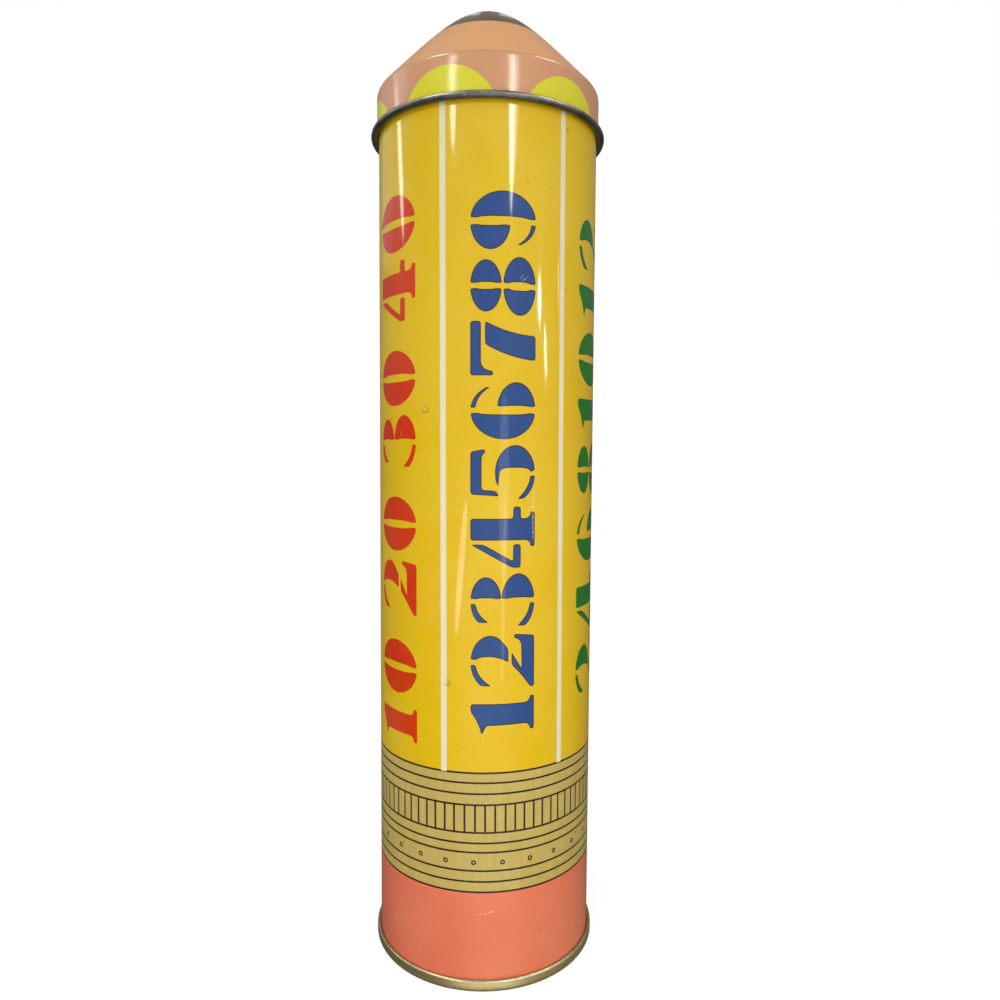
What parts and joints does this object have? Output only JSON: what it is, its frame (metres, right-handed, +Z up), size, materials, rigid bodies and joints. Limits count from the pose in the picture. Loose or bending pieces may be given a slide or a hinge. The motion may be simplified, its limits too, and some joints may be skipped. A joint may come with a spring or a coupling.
{
  "type": "pencil tin",
  "caption": "Round upright slip-lid tin in the shape of a large pencil, with a seamed base and a pull-off cone lid, for keeping pencils.",
  "frame": {"origin": "centre of the ring that the tin stands on, on the table", "axes": "+Z up along the tin's axis, towards the lid's tip; -Y is the front; the side seam is at the back, at +Y"},
  "size_m": [0.0536, 0.0536, 0.215],
  "materials": {
    "printed_wall": "gloss printed and varnished tinplate",
    "lacquered_base": "gold lacquered tinplate",
    "printed_lid": "gloss printed and varnished tinplate, plain at the rolled bead"
  },
  "bodies": {
    "tin": {"wall": "printed_wall", "base": "lacquered_base"},
    "lid": {"lid": "printed_lid"}
  },
  "joints": [
    {"name": "lid_lift", "type": "slide", "parent": "tin", "child": "lid", "axis": [0, 0, 1], "range_m": [0, 0.08]}
  ]
}
